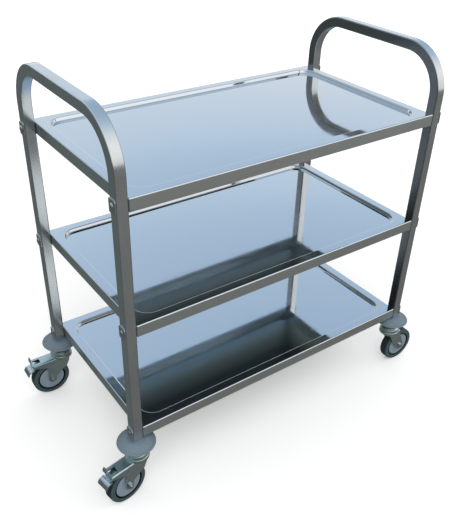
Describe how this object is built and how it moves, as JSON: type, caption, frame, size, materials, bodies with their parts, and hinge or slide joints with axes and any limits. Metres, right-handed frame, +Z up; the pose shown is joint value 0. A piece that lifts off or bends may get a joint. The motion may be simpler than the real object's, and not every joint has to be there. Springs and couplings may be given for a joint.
{
  "type": "utility cart",
  "caption": "Stainless utility cart with three shelves between bent square tube end frames that form the handles, on swivel casters under round bumper discs; the left pair has pedal brakes.",
  "frame": {"origin": "on the floor, under the middle of the cart's end frames and shelves", "axes": "+X along the cart towards the end without brakes, +Y across it towards the back, +Z up"},
  "size_m": [1.0151, 0.514, 0.914],
  "materials": {
    "tube_steel": "satin stainless tube",
    "shelf_steel": "polished stainless sheet",
    "plate_steel": "satin",
    "fastener_steel": "bright",
    "zinc_steel": "bright zinc plate",
    "pedal_steel": "bright zinc plate",
    "ball_steel": "polished",
    "bumper_grey": "moulded grey",
    "plug_black": "moulded",
    "wheel_grey": "moulded grey",
    "tyre_grey": "dark grey rubber"
  },
  "bodies": {
    "frame": {"end_frame_left": "tube_steel", "end_frame_right": "tube_steel", "shelf_top": "shelf_steel", "shelf_middle": "shelf_steel", "shelf_bottom": "shelf_steel", "washer_plates_left": "plate_steel", "washer_plates_right": "plate_steel", "shelf_bolts_left": "fastener_steel", "shelf_bolts_right": "fastener_steel", "shelf_nuts_left": "fastener_steel", "shelf_nuts_right": "fastener_steel", "front_left_bumper": "bumper_grey", "front_left_stem_plug": "plug_black", "front_left_stem": "zinc_steel", "front_left_swivel_cap": "zinc_steel", "back_left_bumper": "bumper_grey", "back_left_stem_plug": "plug_black", "back_left_stem": "zinc_steel", "back_left_swivel_cap": "zinc_steel", "front_right_bumper": "bumper_grey", "front_right_stem_plug": "plug_black", "front_right_stem": "zinc_steel", "front_right_swivel_cap": "zinc_steel", "back_right_bumper": "bumper_grey", "back_right_stem_plug": "plug_black", "back_right_stem": "zinc_steel", "back_right_swivel_cap": "zinc_steel"},
    "front_left_caster": {"front_left_swivel_balls": "ball_steel", "front_left_fork": "zinc_steel", "front_left_axle_bolt": "zinc_steel", "front_left_axle_nut": "zinc_steel", "front_left_axle_sleeve": "zinc_steel", "front_left_brake_pin": "zinc_steel"},
    "front_left_wheel": {"front_left_wheel_centre": "wheel_grey", "front_left_tyre": "tyre_grey"},
    "front_left_pedal": {"front_left_brake_pedal": "pedal_steel"},
    "back_left_caster": {"back_left_swivel_balls": "ball_steel", "back_left_fork": "zinc_steel", "back_left_axle_bolt": "zinc_steel", "back_left_axle_nut": "zinc_steel", "back_left_axle_sleeve": "zinc_steel", "back_left_brake_pin": "zinc_steel"},
    "back_left_wheel": {"back_left_wheel_centre": "wheel_grey", "back_left_tyre": "tyre_grey"},
    "back_left_pedal": {"back_left_brake_pedal": "pedal_steel"},
    "front_right_caster": {"front_right_swivel_balls": "ball_steel", "front_right_fork": "zinc_steel", "front_right_axle_bolt": "zinc_steel", "front_right_axle_nut": "zinc_steel", "front_right_axle_sleeve": "zinc_steel"},
    "front_right_wheel": {"front_right_wheel_centre": "wheel_grey", "front_right_tyre": "tyre_grey"},
    "back_right_caster": {"back_right_swivel_balls": "ball_steel", "back_right_fork": "zinc_steel", "back_right_axle_bolt": "zinc_steel", "back_right_axle_nut": "zinc_steel", "back_right_axle_sleeve": "zinc_steel"},
    "back_right_wheel": {"back_right_wheel_centre": "wheel_grey", "back_right_tyre": "tyre_grey"}
  },
  "joints": [
    {"name": "front_left_swivel", "type": "hinge", "parent": "frame", "child": "front_left_caster", "pos_m": [-0.4125, -0.2125, 0.1191], "axis": [0, 0, 1], "continuous": true},
    {"name": "front_left_roll", "type": "hinge", "parent": "front_left_caster", "child": "front_left_wheel", "pos_m": [-0.44992, -0.2191, 0.05], "axis": [0.1736, -0.9848, 0], "continuous": true},
    {"name": "front_left_brake", "type": "hinge", "parent": "front_left_caster", "child": "front_left_pedal", "pos_m": [-0.45485, -0.21997, 0.105], "axis": [0.1736, -0.9848, 0], "range_deg": [0, 6]},
    {"name": "back_left_swivel", "type": "hinge", "parent": "frame", "child": "back_left_caster", "pos_m": [-0.4125, 0.2125, 0.1191], "axis": [0, 0, 1], "continuous": true},
    {"name": "back_left_roll", "type": "hinge", "parent": "back_left_caster", "child": "back_left_wheel", "pos_m": [-0.45049, 0.21316, 0.05], "axis": [-0.0175, -0.9998, 0], "continuous": true},
    {"name": "back_left_brake", "type": "hinge", "parent": "back_left_caster", "child": "back_left_pedal", "pos_m": [-0.45549, 0.21325, 0.105], "axis": [-0.0175, -0.9998, 0], "range_deg": [0, 6]},
    {"name": "front_right_swivel", "type": "hinge", "parent": "frame", "child": "front_right_caster", "pos_m": [0.4125, -0.2125, 0.1191], "axis": [0, 0, 1], "continuous": true},
    {"name": "front_right_roll", "type": "hinge", "parent": "front_right_caster", "child": "front_right_wheel", "pos_m": [0.45048, -0.21383, 0.05], "axis": [0.0349, 0.9994, 0], "continuous": true},
    {"name": "back_right_swivel", "type": "hinge", "parent": "frame", "child": "back_right_caster", "pos_m": [0.4125, 0.2125, 0.1191], "axis": [0, 0, 1], "continuous": true},
    {"name": "back_right_roll", "type": "hinge", "parent": "back_right_caster", "child": "back_right_wheel", "pos_m": [0.45049, 0.21316, 0.05], "axis": [-0.0175, 0.9998, 0], "continuous": true}
  ]
}
